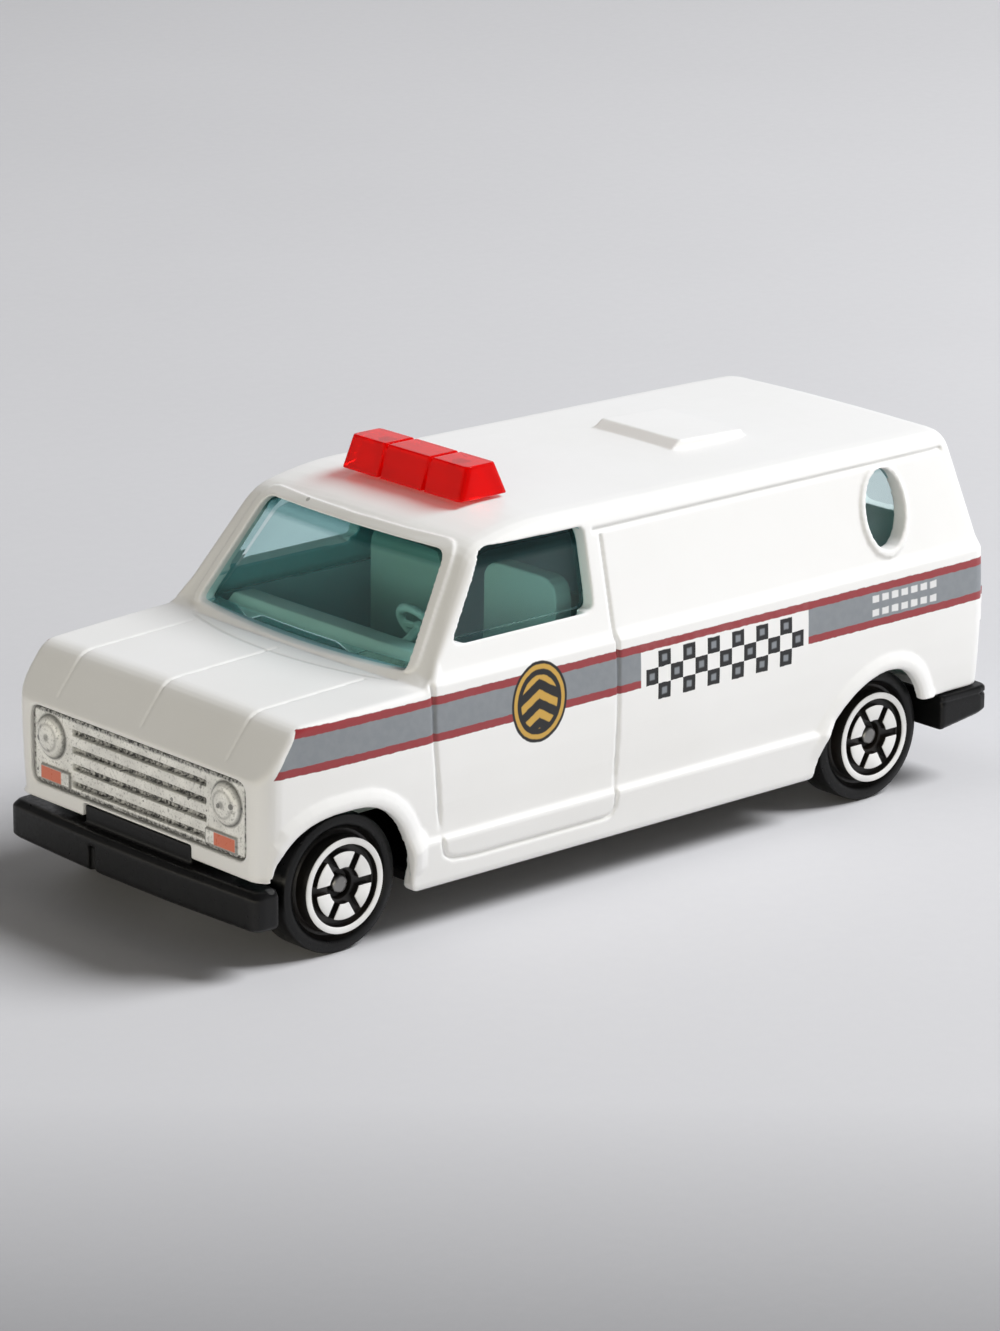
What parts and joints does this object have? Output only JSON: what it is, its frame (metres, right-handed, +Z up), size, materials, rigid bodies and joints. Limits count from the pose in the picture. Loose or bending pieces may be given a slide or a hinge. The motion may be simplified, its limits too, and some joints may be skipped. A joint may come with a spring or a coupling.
{
  "type": "die-cast police van",
  "caption": "Small die-cast toy police van with rolling sprung wheels, opening rear doors, tinted glazing, a moulded interior and a red roof light bar.",
  "frame": {"origin": "on the ground under the middle of the van's length and width", "axes": "+X towards the nose, +Y towards the van's left side, +Z up"},
  "size_m": [0.075, 0.0308, 0.0316],
  "materials": {
    "enamel": "white gloss enamel on cast zinc",
    "black_plastic": "satin black moulding",
    "silver_plastic": "silver-coated moulding",
    "red_lens": "clear red moulding",
    "tinted_plastic": "clear blue-green moulding",
    "ivory_plastic": "ivory moulding",
    "steel": "bright drawn wire and strip"
  },
  "bodies": {
    "body": {"body_shell": "enamel", "base_plate": "black_plastic", "glazing": "tinted_plastic", "interior_tray": "ivory_plastic", "grille_insert": "silver_plastic", "light_bar": "red_lens", "front_leaf_spring": "steel", "rear_leaf_spring": "steel"},
    "front_axle_unit": {"front_axle": "steel"},
    "rear_axle_unit": {"rear_axle": "steel"},
    "front_left_wheel_unit": {"front_left_wheel": "black_plastic"},
    "front_right_wheel_unit": {"front_right_wheel": "black_plastic"},
    "rear_left_wheel_unit": {"rear_left_wheel": "black_plastic"},
    "rear_right_wheel_unit": {"rear_right_wheel": "black_plastic"},
    "rear_door_left_unit": {"rear_door_left": "enamel"},
    "rear_door_right_unit": {"rear_door_right": "enamel"}
  },
  "joints": [
    {"name": "front_suspension", "type": "slide", "parent": "body", "child": "front_axle_unit", "axis": [0, 0, 1], "range_m": [0, 0.0006], "stiffness_N_per_m": 600, "springref_m": -0.0006, "deforming": ["front_leaf_spring"]},
    {"name": "rear_suspension", "type": "slide", "parent": "body", "child": "rear_axle_unit", "axis": [0, 0, 1], "range_m": [0, 0.0006], "stiffness_N_per_m": 600, "springref_m": -0.0006, "deforming": ["rear_leaf_spring"]},
    {"name": "front_left_spin", "type": "hinge", "parent": "front_axle_unit", "child": "front_left_wheel_unit", "pos_m": [0.02855, 0.01435, 0.00525], "axis": [0, 1, 0], "continuous": true},
    {"name": "front_right_spin", "type": "hinge", "parent": "front_axle_unit", "child": "front_right_wheel_unit", "pos_m": [0.02855, -0.01435, 0.00525], "axis": [0, 1, 0], "continuous": true},
    {"name": "rear_left_spin", "type": "hinge", "parent": "rear_axle_unit", "child": "rear_left_wheel_unit", "pos_m": [-0.02545, 0.01435, 0.00525], "axis": [0, 1, 0], "continuous": true},
    {"name": "rear_right_spin", "type": "hinge", "parent": "rear_axle_unit", "child": "rear_right_wheel_unit", "pos_m": [-0.02545, -0.01435, 0.00525], "axis": [0, 1, 0], "continuous": true},
    {"name": "rear_door_left_hinge", "type": "hinge", "parent": "body", "child": "rear_door_left_unit", "pos_m": [-0.0363, 0.0123, 0.00775], "axis": [0, 0, -1], "range_deg": [0, 90]},
    {"name": "rear_door_right_hinge", "type": "hinge", "parent": "body", "child": "rear_door_right_unit", "pos_m": [-0.0363, -0.0123, 0.00775], "axis": [0, 0, 1], "range_deg": [0, 90]}
  ]
}
